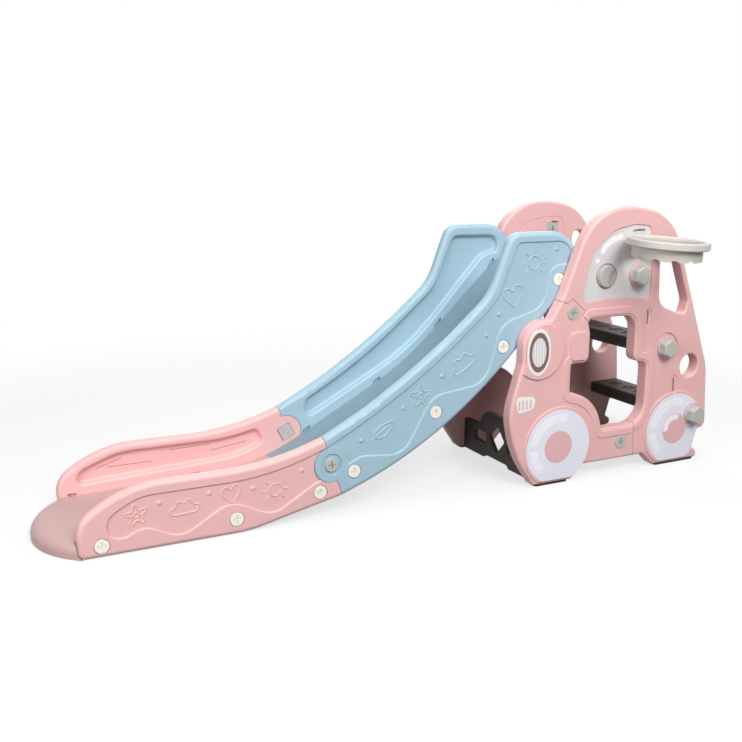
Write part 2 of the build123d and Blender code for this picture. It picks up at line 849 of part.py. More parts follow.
def hoop_skirt():
    outer = hoop_bore - hoop_ledge - fit_clearance
    inner = outer - hoop_skirt_wall
    low = hoop_shelf - hoop_ledge - hoop_skirt_drop
    section = ring_section(inner, hoop_bore - fit_clearance, hoop_shelf, hoop_shelf + hoop_ledge)
    section += ring_section(inner, outer, low, hoop_shelf + overcut)
    skirt = revolve(Plane.XZ * section, Axis.Z)
    notch_middle = low + hoop_scallop_depth - hoop_scallop_radius
    notch = Pos(outer, 0, notch_middle) * Rot(0, 90, 0) * Cylinder(hoop_scallop_radius, 2 * hoop_rim_width)
    for index in range(hoop_scallops):
        skirt -= Rot(0, 0, index * 360 / hoop_scallops) * notch
    return hoop_centre() * skirt


def slot_plug():
    plug = plate(hoop_slot_face(fit_clearance), panel_inner, panel_outer - window_depth)
    site = (hoop_slot_centre, (hoop_slot_bottom + hoop_slot_top - hoop_tongue_headroom) / 2)
    return plug - left_of(cross_recess(site, hoop_slot_width / 2, -panel_inner))


def build():
    front_panel, rear_panel = panel_pieces()
    lower_wall, upper_wall = wall_pieces()
    window_floor = panel_outer - window_depth
    wheel_face = panel_outer + wheel_disc_height
    bolts = [
        hand_bolt(platform_site, window_floor),
        hand_bolt(upper_step_site, window_floor),
        hand_bolt(lower_step_site, wheel_face),
    ]
    bushes = [step_bush(site) for site in (platform_site, upper_step_site, lower_step_site)]
    screws = cap_screws(lower_screw_sites + upper_screw_sites)
    bed_nuts = bed_bushes(lower_screw_sites + upper_screw_sites)
    joining = [panel_screw(site) for site in panel_screw_sites]
    joining_nuts = [panel_nut(site) for site in panel_screw_sites]
    nodes = {
        "lower_bed": [lower_bed()],
        "upper_bed": [upper_bed()],
        "lower_step": [step(lower_step_site)],
        "upper_step": [step(upper_step_site)],
        "top_platform": [top_platform()],
        "front_brace": [front_brace()],
        "hoop_ring": [hoop_ring()],
        "hoop_skirt": [hoop_skirt()],
        "slot_plug": [slot_plug()],
        "lap_bolts": [lap_bolt(), left_of(lap_bolt())],
        "lap_nuts": [lap_nut(), left_of(lap_nut())],
        "panel_screws": joining + [left_of(s) for s in joining],
        "panel_nuts": joining_nuts + [left_of(s) for s in joining_nuts],
        "step_bushes": bushes + [left_of(s) for s in bushes],
    }
    sided = {
        "lower_wall": [lower_wall],
        "upper_wall": [upper_wall],
        "front_panel": [front_panel],
        "rear_panel": [rear_panel],
        "front_pad": [foot_pad(front_pad_span)],
        "rear_pad": [foot_pad(rear_pad_span)],
        "twist_lock": [twist_lock()],
        "hand_bolts": bolts,
        "wall_screws": screws,
        "bed_bushes": bed_nuts,
    }
    for name, shapes in sided.items():
        nodes[f"right_{name}"] = shapes
        nodes[f"left_{name}"] = [left_of(s) for s in shapes]
    return nodes


nodes = build()
solids = {name: [s for shape in shapes for s in shape.solids()] for name, shapes in nodes.items()}
box = Compound([s for group in solids.values() for s in group]).bounding_box()
to_origin = Pos(-box.center().X, -box.center().Y, -box.min.Z)
print("moved by", to_origin.position, "size", box.size)
os.makedirs("parts", exist_ok=True)
for name, group in solids.items():
    placed = [to_origin * s for s in group]
    export_step(placed[0] if len(placed) == 1 else Compound(placed), f"parts/{name}.step")
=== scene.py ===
import json
from math import cos, degrees, pi, radians, sin, tan

import bpy
from mathutils import Matrix, Vector


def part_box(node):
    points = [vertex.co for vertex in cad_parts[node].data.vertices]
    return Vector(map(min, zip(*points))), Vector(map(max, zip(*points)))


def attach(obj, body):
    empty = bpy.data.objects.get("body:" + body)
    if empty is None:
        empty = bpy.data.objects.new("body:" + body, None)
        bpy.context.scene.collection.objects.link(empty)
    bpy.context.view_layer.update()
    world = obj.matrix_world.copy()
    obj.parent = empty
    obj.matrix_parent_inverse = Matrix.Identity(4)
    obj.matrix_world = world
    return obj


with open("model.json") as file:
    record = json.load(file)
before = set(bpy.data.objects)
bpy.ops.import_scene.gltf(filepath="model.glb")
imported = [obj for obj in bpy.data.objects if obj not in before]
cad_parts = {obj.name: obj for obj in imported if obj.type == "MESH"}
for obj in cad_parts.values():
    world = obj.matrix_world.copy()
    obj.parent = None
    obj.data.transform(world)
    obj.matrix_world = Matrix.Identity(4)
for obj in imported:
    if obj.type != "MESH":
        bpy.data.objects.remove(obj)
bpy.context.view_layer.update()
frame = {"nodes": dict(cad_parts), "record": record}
nodes = frame["nodes"]
print("frame loaded,", len(nodes), "nodes")

# metres: lengths from the lower walls' foot, widths from the middle of the beds, heights from the floor
layout = {"noseReach": 0.100, "panelFace": 0.213, "windowFloor": 0.209, "wheelFace": 0.216, "lampFace": 0.218,
          "wallField": 0.170, "pocketFloor": 0.160}
bedLow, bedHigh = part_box("lower_bed")
startX = bedLow.x + layout["noseReach"]
middleY = (bedLow.y + bedHigh.y) / 2
sides = {"left": -1, "right": 1}  # a side's outward way along Y


def at(x, y, z):
    return Vector((startX + x, middleY + y, z))


# colours are written as seen on a screen, and brought to linear light here
def tint(*levels):
    shares = [level / 255 for level in levels]
    return [s / 12.92 if s < 0.04045 else ((s + 0.055) / 1.055) ** 2.4 for s in shares] + [1]


# an input takes either a value or another node's output
def feed(node, inputs):
    for label, source in inputs.items():
        if isinstance(source, bpy.types.NodeSocket):
            node.id_data.links.new(source, node.inputs[label])
        else:
            node.inputs[label].default_value = source


def addNode(tree, kind, x, y, inputs=None, **settings):
    node = tree.nodes.new(kind)
    node.location = (x, y)
    for key, value in settings.items():
        setattr(node, key, value)
    feed(node, inputs or {})
    return node


def mathNode(tree, operation, x, y, first, second):
    return addNode(tree, "ShaderNodeMath", x, y, {0: first, 1: second}, operation=operation).outputs[0]


# a noise's swing to both sides of its middle, times an amount, on top of a base
def swingNode(tree, x, y, noise, amount, base):
    centred = mathNode(tree, "SUBTRACT", x, y, noise.outputs["Fac"], 0.5)
    return mathNode(tree, "ADD", x + 300, y, mathNode(tree, "MULTIPLY", x + 120, y, centred, amount), base)


def newGroup(name, inputs, outputs):
    group = bpy.data.node_groups.new(name, "ShaderNodeTree")
    for way, sockets in (("INPUT", inputs), ("OUTPUT", outputs)):
        for label, kind in sockets.items():
            group.interface.new_socket(label, in_out=way, socket_type="NodeSocket" + kind)
    start = addNode(group, "NodeGroupInput", -900, 0)
    return group, start.outputs, addNode(group, "NodeGroupOutput", 700, 0)


# moulded skin: broad drift of tone, fine pebbled grain and patchy gloss
skinDetail = {"driftScale": 4.5, "driftDetail": 4, "patchScale": 34, "patchDetail": 5, "glossDrift": 0.16,
              "grainScale": 1100, "grainDetail": 2, "grainDepth": 0.0005, "specular": 0.34}
skinGroup, skinIn, skinEnd = newGroup(
    "mouldedSkin",
    {"Colour": "Color", "Drift": "Float", "Drift Scale": "Float", "Grain": "Float", "Grain Scale": "Float",
     "Gloss": "Float", "Gloss Drift": "Float"},
    {"Colour": "Color", "Roughness": "Float", "Normal": "Vector"})
skinPlace = addNode(skinGroup, "ShaderNodeTexCoord", -900, -300).outputs["Object"]
broad = addNode(skinGroup, "ShaderNodeTexNoise", -600, 200,
                {"Vector": skinPlace, "Scale": skinIn["Drift Scale"], "Detail": skinDetail["driftDetail"]})
patch = addNode(skinGroup, "ShaderNodeTexNoise", -600, -60,
                {"Vector": skinPlace, "Scale": skinDetail["patchScale"], "Detail": skinDetail["patchDetail"]})
pebble = addNode(skinGroup, "ShaderNodeTexNoise", -600, -340,
                 {"Vector": skinPlace, "Scale": skinIn["Grain Scale"], "Detail": skinDetail["grainDetail"]})
tone = swingNode(skinGroup, -420, 260, broad, skinIn["Drift"], 1.0)
shade = addNode(skinGroup, "ShaderNodeHueSaturation", 100, 200, {"Value": tone, "Color": skinIn["Colour"]})
grainBump = addNode(skinGroup, "ShaderNodeBump", 100, -300,
                    {"Distance": skinDetail["grainDepth"], "Strength": skinIn["Grain"],
                     "Height": pebble.outputs["Fac"]})
feed(skinEnd, {"Colour": shade.outputs["Color"],
               "Roughness": swingNode(skinGroup, -420, -40, patch, skinIn["Gloss Drift"], skinIn["Gloss"]),
               "Normal": grainBump.outputs["Normal"]})

# rub marks: fine streaks along the slide, where clothes and shoes pass
rubDetail = {"stretch": (5, 230, 9), "streakDetail": 3, "streakLimits": (0.56, 0.74), "wornScale": 7,
             "wornLimits": (0.40, 0.66), "amount": 0.75, "dulling": 0.22}
rubGroup, rubIn, rubEnd = newGroup(
    "rubMarks",
    {"Colour": "Color", "Worn": "Color", "Amount": "Float", "Roughness": "Float"},
    {"Colour": "Color", "Roughness": "Float"})


def rubRange(x, y, noise, limits):
    inputs = {"Value": noise.outputs["Fac"], "From Min": limits[0], "From Max": limits[1]}
    return addNode(rubGroup, "ShaderNodeMapRange", x, y, inputs).outputs["Result"]


rubPlace = addNode(rubGroup, "ShaderNodeTexCoord", -900, -300).outputs["Object"]
stretch = addNode(rubGroup, "ShaderNodeMapping", -740, -200,
                  {"Vector": rubPlace, "Scale": rubDetail["stretch"]})
streak = addNode(rubGroup, "ShaderNodeTexNoise", -560, -100,
                 {"Vector": stretch.outputs["Vector"], "Detail": rubDetail["streakDetail"]})
worn = addNode(rubGroup, "ShaderNodeTexNoise", -560, -360,
               {"Vector": rubPlace, "Scale": rubDetail["wornScale"]})
rubLines = mathNode(rubGroup, "MULTIPLY", -140, -200, rubRange(-360, -100, streak, rubDetail["streakLimits"]),
                    rubRange(-360, -360, worn, rubDetail["wornLimits"]))
rubMask = mathNode(rubGroup, "MULTIPLY", 20, -200, rubLines, rubIn["Amount"])
rubMix = addNode(rubGroup, "ShaderNodeMix", 260, 100,
                 {"Factor": rubMask, "A": rubIn["Colour"], "B": rubIn["Worn"]}, data_type="RGBA")
duller = mathNode(rubGroup, "MULTIPLY", 140, -300, rubMask, rubDetail["dulling"])
feed(rubEnd, {"Colour": rubMix.outputs["Result"],
              "Roughness": mathNode(rubGroup, "ADD", 260, -200, rubIn["Roughness"], duller)})

finishes = {
    "pinkShell": {"colour": (236, 187, 186), "drift": 0.05, "gloss": 0.42, "grain": 0.10},
    "pinkBed": {"colour": (200, 166, 164), "drift": 0.06, "gloss": 0.44, "grain": 0.12, "rub": (236, 208, 206)},
    "blueShell": {"colour": (167, 197, 212), "drift": 0.05, "gloss": 0.42, "grain": 0.10},
    "blueBed": {"colour": (131, 155, 167), "drift": 0.06, "gloss": 0.44, "grain": 0.12, "rub": (190, 212, 222)},
    "darkTread": {"colour": (66, 58, 56), "drift": 0.16, "gloss": 0.58, "grain": 0.30, "rub": (104, 95, 91)},
    "hoopShell": {"colour": (209, 207, 201), "drift": 0.05, "gloss": 0.40, "grain": 0.10},
    "boltGrey": {"colour": (190, 188, 183), "drift": 0.06, "gloss": 0.40, "grain": 0.14},
    "capCream": {"colour": (248, 246, 236), "drift": 0.05, "gloss": 0.42, "grain": 0.10},
    "bushGrey": {"colour": (118, 118, 118), "drift": 0.08, "gloss": 0.50, "grain": 0.16},
    "padRubber": {"colour": (34, 33, 33), "drift": 0.20, "gloss": 0.72, "grain": 0.40},
    "windowFilm": {"colour": (219, 217, 218), "drift": 0.04, "gloss": 0.30, "grain": 0.03},
    "whiteFilm": {"colour": (246, 245, 244), "drift": 0.02, "gloss": 0.30, "grain": 0.03},
    "tyreFilm": {"colour": (236, 237, 249), "drift": 0.04, "gloss": 0.30, "grain": 0.03},
    "tyreShine": {"colour": (250, 249, 253), "drift": 0.02, "gloss": 0.30, "grain": 0.03},
    "hubFilm": {"colour": (230, 184, 186), "drift": 0.05, "gloss": 0.32, "grain": 0.03},
    "lampBrown": {"colour": (134, 98, 90), "drift": 0.06, "gloss": 0.30, "grain": 0.03},
    # slitShade: a darker pink for the pocket slits, painted shade inside them
    "slitShade": {"colour": (158, 98, 96), "drift": 0.10, "gloss": 0.60, "grain": 0.05},
    # the hoop skirt: a darker, warmer copy of hoopShell, its darkening painted shade under the rim
    "skirtShadedShell": {"colour": (206, 200, 190), "drift": 0.05, "gloss": 0.44, "grain": 0.10},
}


def skinMaterial(name, finish):
    material = bpy.data.materials.new(name)
    material.use_nodes = True
    tree = material.node_tree
    skin = addNode(tree, "ShaderNodeGroup", -500, 200, {
        "Colour": tint(*finish["colour"]),
        "Drift": finish["drift"] * 2,  # the noise swings by half of it each way
        "Drift Scale": skinDetail["driftScale"],
        "Grain": finish["grain"],
        "Grain Scale": skinDetail["grainScale"],
        "Gloss": finish["gloss"],
        "Gloss Drift": skinDetail["glossDrift"],
    }, node_tree=skinGroup)
    top = skin
    if "rub" in finish:
        top = addNode(tree, "ShaderNodeGroup", -260, 200, {
            "Colour": skin.outputs["Colour"],
            "Roughness": skin.outputs["Roughness"],
            "Worn": tint(*finish["rub"]),
            "Amount": rubDetail["amount"],
        }, node_tree=rubGroup)
    feed(tree.nodes["Principled BSDF"], {
        "Base Color": top.outputs["Colour"],
        "Roughness": top.outputs["Roughness"],
        "Normal": skin.outputs["Normal"],
        "Specular IOR Level": skinDetail["specular"],
    })
    return material


materials = {name: skinMaterial(name, finish) for name, finish in finishes.items()}
slotFinish = {"pink_moulding": "pinkShell", "blue_moulding": "blueShell", "dark_moulding": "darkTread",
              "hoop_plastic": "hoopShell", "grey_fastener": "boltGrey", "cream_cap": "capCream",
              "bush_plastic": "bushGrey", "pad_rubber": "padRubber"}
# hoop_skirt takes the hoop plastic darkened as painted shade
nodeFinish = {"lower_bed": "pinkBed", "upper_bed": "blueBed", "hoop_skirt": "skirtShadedShell",
              "slot_plug": "boltGrey"}  # these go before their slot's finish
for row in frame["record"]["subparts"]:
    solid = nodes[row["node"]]
    solid.data.materials.clear()
    solid.data.materials.append(materials[nodeFinish.get(row["node"], slotFinish[row["material_slot"]])])
print("finishes made,", len(materials))

# shared ways of making the added pieces
making = {"weldGap": 0.000002, "plateAngle": 35, "beadAngle": 60, "outlineSteps": 10, "beadSteps": 5,
          "beadRound": 2, "plateSides": 96, "drillSides": 64, "drillDepth": 0.02}
facingY = (radians(90), 0, 0)  # stands a shape that was drawn flat on the floor upright


def clearSelection():
    bpy.ops.object.select_all(action="DESELECT")


def pick(pieces):
    clearSelection()
    for piece in pieces:
        piece.select_set(True)
    bpy.context.view_layer.objects.active = pieces[0]


def editAll():
    bpy.ops.object.mode_set(mode="EDIT")
    bpy.ops.mesh.select_all(action="SELECT")


def stopEditing():
    bpy.ops.object.mode_set(mode="OBJECT")


def applyPlace():
    bpy.ops.object.transform_apply(location=True, rotation=True, scale=True)


def weld(piece, angle=making["plateAngle"]):
    pick([piece])
    editAll()
    bpy.ops.mesh.remove_doubles(threshold=making["weldGap"])
    bpy.ops.mesh.normals_make_consistent(inside=False)
    stopEditing()
    bpy.ops.object.shade_smooth_by_angle(angle=radians(angle))


def settle(piece, finish):
    piece.data.materials.clear()
    piece.data.materials.append(materials[finish])
    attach(piece, "frame")


def join(name, parts):
    pick(parts)
    if len(parts) > 1:
        bpy.ops.object.join()
    parts[0].name = name
    return parts[0]


# how long the handles of an arc are, at a radius of one
def arcPull(sweep):
    return 4 / 3 * tan(sweep / 4)


# a corner (x, z, radius) becomes two knots whose handles draw its arc
def arcKnots(corners):
    spots = [Vector((x, z, 0)) for x, z, radius in corners]
    knots = []
    for index, here in enumerate(spots):
        radius = corners[index][2]
        back = (spots[index - 1] - here).normalized()
        ahead = (spots[(index + 1) % len(spots)] - here).normalized()
        sweep = pi - back.angle(ahead)
        reach = radius * tan(sweep / 2)
        pull = arcPull(sweep) * radius
        first, last = here + back * reach, here + ahead * reach
        knots.append((first, first, first - back * pull))
        knots.append((last, last - ahead * pull, last))
    return knots


def roundKnots(x, z, radius):
    pull = arcPull(pi / 2)
    knots = []
    for turn in (0, 90, 180, 270):
        c, s = radius * cos(radians(turn)), radius * sin(radians(turn))
        spot = Vector((x + c, z + s, 0))
        lean = Vector((-s * pull, c * pull, 0))
        knots.append((spot, spot - lean, spot + lean))
    return knots


# a straight strip from end to end, its corners rounded by a share of its width
def stripKnots(x0, z0, x1, z1, wide, rounding):
    across = Vector((z0 - z1, x1 - x0)).normalized() * wide / 2
    ends = [(x0 - across.x, z0 - across.y), (x0 + across.x, z0 + across.y),
            (x1 + across.x, z1 + across.y), (x1 - across.x, z1 - across.y)]
    return arcKnots([(x, z, wide * rounding) for x, z in ends])


def blankCurve(dimensions, steps):
    clearSelection()
    bpy.ops.curve.primitive_bezier_curve_add(location=(0, 0, 0))
    drawn = bpy.context.object
    drawn.data.splines.clear()
    drawn.data.dimensions = dimensions
    drawn.data.resolution_u = steps
    return drawn


# a thin plate cut to outlines in the side view, its back at the level from the middle plane
def flatPlate(name, outlines, hand, level, thick):
    drawn = blankCurve("2D", making["outlineSteps"])
    drawn.data.fill_mode = "BOTH"
    drawn.data.extrude = thick / 2
    for knots in outlines:
        line = drawn.data.splines.new("BEZIER")
        line.bezier_points.add(len(knots) - 1)
        for point, (spot, left, right) in zip(line.bezier_points, knots):
            point.handle_left_type = point.handle_right_type = "FREE"
            point.co, point.handle_left, point.handle_right = spot, left, right
        line.use_cyclic_u = True
    bpy.ops.object.convert(target="MESH")
    plate = bpy.context.object
    plate.name = name
    plate.rotation_euler = facingY
    plate.location = at(0, hand * (level + thick / 2), 0)
    applyPlace()
    weld(plate)
    return plate


# a round or oval plate, with a hole, a span of angles and straight cuts where they are given
def roundPlate(name, spot, reach, hand, level, thick, hole=0, span=None, cuts=()):
    clearSelection()
    wide, high = reach
    centre = at(spot[0], hand * level, spot[1])
    bpy.ops.mesh.primitive_circle_add(vertices=making["plateSides"], radius=wide, fill_type="NOTHING",
                                      location=centre, rotation=facingY)
    plate = bpy.context.object
    plate.name = name
    applyPlace()
    editAll()
    bpy.ops.transform.resize(value=(1, 1, high / wide), center_override=centre)
    if hole:
        bpy.ops.mesh.extrude_edges_move()
        bpy.ops.transform.resize(value=(hole / wide, 1, hole / wide), center_override=centre)
    else:
        bpy.ops.mesh.edge_face_add()
    if span:
        bpy.ops.mesh.select_all(action="DESELECT")
        stopEditing()
        first, last = span
        for face in plate.data.polygons:
            arm = face.center - centre
            turn = degrees(Vector((arm.x, arm.z)).angle_signed(Vector((1, 0)))) % 360
            face.select = not first <= turn <= last
        bpy.ops.object.mode_set(mode="EDIT")
        bpy.ops.mesh.delete(type="FACE")
    for cutX, cutZ, aimX, aimZ in cuts:
        bpy.ops.mesh.select_all(action="SELECT")
        bpy.ops.mesh.bisect(plane_co=at(cutX, 0, cutZ), plane_no=(aimX, 0, aimZ), clear_outer=True)
    bpy.ops.mesh.select_all(action="SELECT")
    bpy.ops.mesh.extrude_region_move(TRANSFORM_OT_translate={"value": (0, hand * thick, 0)})
    stopEditing()
    weld(plate)
    return plate


# a round hole through a film, where a bolt's collar stands
def drillFilm(plate, x, z, radius, hand, level):
    clearSelection()
    bpy.ops.mesh.primitive_cylinder_add(vertices=making["drillSides"], radius=radius,
                                        depth=making["drillDepth"], location=at(x, hand * level, z),
                                        rotation=facingY)
    drill = bpy.context.object
    pick([plate])
    cut = plate.modifiers.new("collarHole", "BOOLEAN")
    cut.operation = "DIFFERENCE"
    cut.solver = "EXACT"
    cut.object = drill
    bpy.ops.object.modifier_apply(modifier=cut.name)
    bpy.data.objects.remove(drill)
    weld(plate)


# raised beads that follow drawn lines; spotOf takes a line's two numbers to a place
def beadLines(name, lines, radius, spotOf):
    drawn = blankCurve("3D", making["beadSteps"])
    drawn.data.bevel_depth = radius
    drawn.data.bevel_resolution = making["beadRound"]
    drawn.data.use_fill_caps = True
    for points, closed, handle in lines:
        line = drawn.data.splines.new("BEZIER")
        line.bezier_points.add(len(points) - 1)
        for knot, (u, v) in zip(line.bezier_points, points):
            knot.co = spotOf(u, v)
            knot.handle_left_type = knot.handle_right_type = handle
        line.use_cyclic_u = closed
    bpy.ops.object.convert(target="MESH")
    bead = bpy.context.object
    bead.name = name
    weld(bead, making["beadAngle"])
    return bead


# window film, open round the lock, the bolt and the hoop's slot, and the white shine on it
windowFilm = {
    "corners": [(1.311, 0.497, 0.008), (1.3065, 0.530, 0.038), (1.330, 0.633, 0.068), (1.401, 0.6875, 0.068),
                (1.470, 0.7005, 0.078), (1.523, 0.6945, 0.014), (1.5355, 0.590, 0.120), (1.5315, 0.495, 0.010),
                (1.415, 0.5085, 0.400)],
    "rings": [(1.382, 0.565, 0.0355), (1.490, 0.563, 0.035)],
    "slot": [(1.4625, 0.6385, 0.002), (1.4625, 0.6885, 0.002), (1.5065, 0.6885, 0.002),
             (1.5065, 0.6385, 0.002)],
    "thick": 0.0003,
    "shine": [(1.3535, 0.629, 0.006), (1.369, 0.653, 0.020), (1.394, 0.669, 0.030), (1.428, 0.679, 0.006),
              (1.431, 0.665, 0.006), (1.399, 0.655, 0.026), (1.380, 0.642, 0.018), (1.3675, 0.624, 0.006)],
    "shineDot": (1.348, 0.608, 0.0065),
    "shineThick": 0.0004,
}
for side, hand in sides.items():
    level, thick = layout["windowFloor"], windowFilm["thick"]
    openings = [roundKnots(*ring) for ring in windowFilm["rings"]] + [arcKnots(windowFilm["slot"])]
    film = flatPlate(side + "_window_film", [arcKnots(windowFilm["corners"])] + openings, hand, level, thick)
    settle(film, "windowFilm")
    shineMarks = [arcKnots(windowFilm["shine"]), roundKnots(*windowFilm["shineDot"])]
    shine = flatPlate(side + "_window_shine", shineMarks, hand, level + thick, windowFilm["shineThick"])
    settle(shine, "whiteFilm")
print("window films set")

# headlamps: a white oval, a brown bezel and a pale glass with flutes
lamp = {"spot": (1.165, 0.377), "plate": (0.038, 0.063), "bezel": (0.031, 0.053), "glass": (0.023, 0.0393),
        "fluteX": (-0.0135, -0.0045, 0.0045, 0.0135), "fluteWide": 0.0022, "rounding": 0.45, "thick": 0.0005}
# the indicators below them: a white pane with upright bars
indicator = {
    "corners": [(1.100, 0.262, 0.012), (1.166, 0.256, 0.014), (1.158, 0.222, 0.014), (1.108, 0.214, 0.012)],
    "barX": (1.112, 1.124, 1.136, 1.148), "barSpan": (0.224, 0.250), "barWide": 0.0045, "rounding": 0.45,
    "thick": 0.0005,
}
for side, hand in sides.items():
    level, thick = layout["lampFace"], lamp["thick"]
    plate = roundPlate(side + "_lamp_plate", lamp["spot"], lamp["plate"], hand, level, thick)
    settle(plate, "whiteFilm")
    glassWide, glassHigh = lamp["glass"]
    bezel = roundPlate(side + "_lamp_bezel", lamp["spot"], lamp["bezel"], hand, level + thick, thick * 2,
                       hole=glassWide)
    settle(bezel, "lampBrown")
    glass = roundPlate(side + "_lamp_glass", lamp["spot"], lamp["glass"], hand, level + thick, thick)
    settle(glass, "windowFilm")
    lampX, lampZ = lamp["spot"]
    flutes = []
    for fluteX in lamp["fluteX"]:  # each ends its own width short of the oval's edge
        x = lampX + fluteX
        tall = glassHigh * (1 - (fluteX / glassWide) ** 2) ** 0.5 - lamp["fluteWide"]
        flutes.append(stripKnots(x, lampZ - tall, x, lampZ + tall, lamp["fluteWide"], lamp["rounding"]))
    fluting = flatPlate(side + "_lamp_flutes", flutes, hand, level + thick * 2, thick)
    settle(fluting, "whiteFilm")

    level, thick = layout["panelFace"], indicator["thick"]
    pane = flatPlate(side + "_indicator", [arcKnots(indicator["corners"])], hand, level, thick)
    settle(pane, "whiteFilm")
    barLow, barHigh = indicator["barSpan"]
    bars = [stripKnots(x, barLow, x, barHigh, indicator["barWide"], indicator["rounding"])
            for x in indicator["barX"]]
    stripes = flatPlate(side + "_indicator_bars", bars, hand, level + thick, thick)
    settle(stripes, "hubFilm")
print("lamps set")

# wheel films: tyre ring, paler arcs and hub disc, cut where the panel ends and open round the bolt's collar
# arcs are (outer, inner, from, to in degrees), cuts (x, z, the way they face), collars (x, z, radius)
wheels = {
    "front": {"spot": (1.244, 0.107), "outer": 0.1045, "inner": 0.0455, "hub": 0.0437,
              "cuts": [(1.244, 0.0145, 0, -1)], "hubArcs": [], "collars": []},
    "rear": {"spot": (1.660, 0.107), "outer": 0.1035, "inner": 0.045, "hub": 0.043,
             "cuts": [(1.660, 0.0145, 0, -1), (1.7465, 0.100, 0.9664, -0.2571)],
             "hubArcs": [(0.0425, 0.0265, 72, 188)], "collars": [(1.724, 0.144, 0.0325)]},
}
wheelFilm = {"thick": 0.0005, "hubThick": 0.0010, "arcs": [(0.091, 0.0685, 72, 171), (0.091, 0.0685, 185, 229)]}


def wheelPlate(name, wheel, radius, hand, lift, thick, **openings):
    level = layout["wheelFace"] + lift
    return roundPlate(name, wheel["spot"], (radius, radius), hand, level, thick, **openings)


for side, hand in sides.items():
    for end, wheel in wheels.items():
        name, cuts = f"{side}_{end}", wheel["cuts"]
        thick, hubThick = wheelFilm["thick"], wheelFilm["hubThick"]
        tyre = wheelPlate(name + "_tyre", wheel, wheel["outer"], hand, 0, thick, hole=wheel["inner"], cuts=cuts)
        settle(tyre, "tyreFilm")
        arcs = []
        for lift, rings in ((thick, wheelFilm["arcs"]), (hubThick, wheel["hubArcs"])):
            for outer, inner, *span in rings:
                arcs.append(wheelPlate(name + "_arc", wheel, outer, hand, lift, thick, hole=inner, span=span,
                                       cuts=cuts))
        settle(join(name + "_tyre_shine", arcs), "tyreShine")
        hub = wheelPlate(name + "_hub", wheel, wheel["hub"], hand, 0, hubThick)
        for collarX, collarZ, reach in wheel["collars"]:
            for film in (tyre, hub):
                drillFilm(film, collarX, collarZ, reach, hand, layout["wheelFace"])
        settle(hub, "hubFilm")
print("wheel films set")


# raised motifs at unit size, each a list of lines: points, closed or not, kind of handle
motifReach = {"starWaist": 0.46, "flowerWaist": 0.50, "flowerEye": 0.24, "sunDisc": 0.48, "rayFrom": 0.70,
              "rayTo": 1.02}


def ringPoints(reaches, start=0):
    turns = [radians(start + 360 / len(reaches) * step) for step in range(len(reaches))]
    return [(reach * cos(turn), reach * sin(turn)) for reach, turn in zip(reaches, turns)]


def fiveTips(waist):
    return ringPoints([1, waist] * 5, 90)


def evenRing(reach):
    return ringPoints([reach] * 8)


def mirrored(half):
    return half + [(-x, z) for x, z in half[-2:0:-1]]


sunRays = [(list(ends), False, "VECTOR")
           for ends in zip(evenRing(motifReach["rayFrom"]), evenRing(motifReach["rayTo"]))]
motifs = {
    "star": [(fiveTips(motifReach["starWaist"]), True, "VECTOR")],
    "flower": [(fiveTips(motifReach["flowerWaist"]), True, "AUTO"),
               (evenRing(motifReach["flowerEye"]), True, "AUTO")],
    "sun": [(evenRing(motifReach["sunDisc"]), True, "AUTO")] + sunRays,
    "cloud": [([(-0.95, -0.42), (-1.12, -0.08), (-0.72, 0.12), (-0.46, 0.56), (0.02, 0.40), (0.42, 0.62),
                (0.72, 0.16), (1.10, -0.02), (1.00, -0.40), (0.30, -0.50), (-0.40, -0.50)], True, "AUTO")],
    "heart": [(mirrored([(0.0, -0.92), (0.56, -0.38), (0.94, 0.18), (0.78, 0.68), (0.36, 0.76), (0.0, 0.40)]),
               True, "AUTO")],
    "leaf": [([(-1.0, 0.0), (-0.42, 0.42), (0.36, 0.36), (1.0, 0.0), (0.36, -0.36), (-0.42, -0.42)],
              True, "AUTO"),
             ([(-1.35, -0.10), (-0.8, 0.0), (0.62, 0.0)], False, "AUTO")],
}


def placed(motif, x, z, size, turn=0):
    c, s = cos(radians(turn)) * size, sin(radians(turn)) * size
    return [([(x + u * c - v * s, z + u * s + v * c) for u, v in points], closed, handle)
            for points, closed, handle in motifs[motif]]


# the walls' motifs (name, x, z, size, turn) and the bubbles between them
wallBeads = {
    "lower": {"finish": "pinkShell", "slot": "pink_moulding",
              "motifs": [("flower", 0.112, 0.088, 0.026, 8), ("cloud", 0.222, 0.088, 0.030, 4),
                         ("heart", 0.335, 0.103, 0.024, 10), ("sun", 0.444, 0.096, 0.032, 0)],
              "bubbles": [(0.165, 0.108), (0.281, 0.113), (0.388, 0.108), (0.513, 0.135)]},
    "upper": {"finish": "blueShell", "slot": "blue_moulding",
              "motifs": [("leaf", 0.735, 0.208, 0.031, 32), ("flower", 0.838, 0.284, 0.029, 0),
                         ("cloud", 0.962, 0.358, 0.034, 34), ("heart", 1.110, 0.524, 0.031, 16),
                         ("sun", 1.172, 0.607, 0.037, 0)],
              "bubbles": [(0.672, 0.188), (0.790, 0.258), (0.900, 0.330), (1.030, 0.425), (1.068, 0.478),
                          (1.242, 0.640)]},
}
wallRelief = {"bead": 0.0019, "bubble": 0.0062, "bubbleFlat": 0.5, "bubbleSunk": 0.0005, "bubbleSegments": 20,
              "bubbleRings": 12}


def bubbleAt(x, z, hand):
    clearSelection()
    face = hand * layout["wallField"]
    bpy.ops.mesh.primitive_uv_sphere_add(segments=wallRelief["bubbleSegments"],
                                         ring_count=wallRelief["bubbleRings"], radius=wallRelief["bubble"],
                                         location=at(x, face, z), rotation=facingY)
    dome = bpy.context.object
    dome.scale.z = wallRelief["bubbleFlat"]
    applyPlace()
    editAll()
    bpy.ops.mesh.bisect(plane_co=at(x, face - hand * wallRelief["bubbleSunk"], z), plane_no=(0, hand, 0),
                        clear_inner=True, use_fill=True)
    stopEditing()
    weld(dome)
    return dome


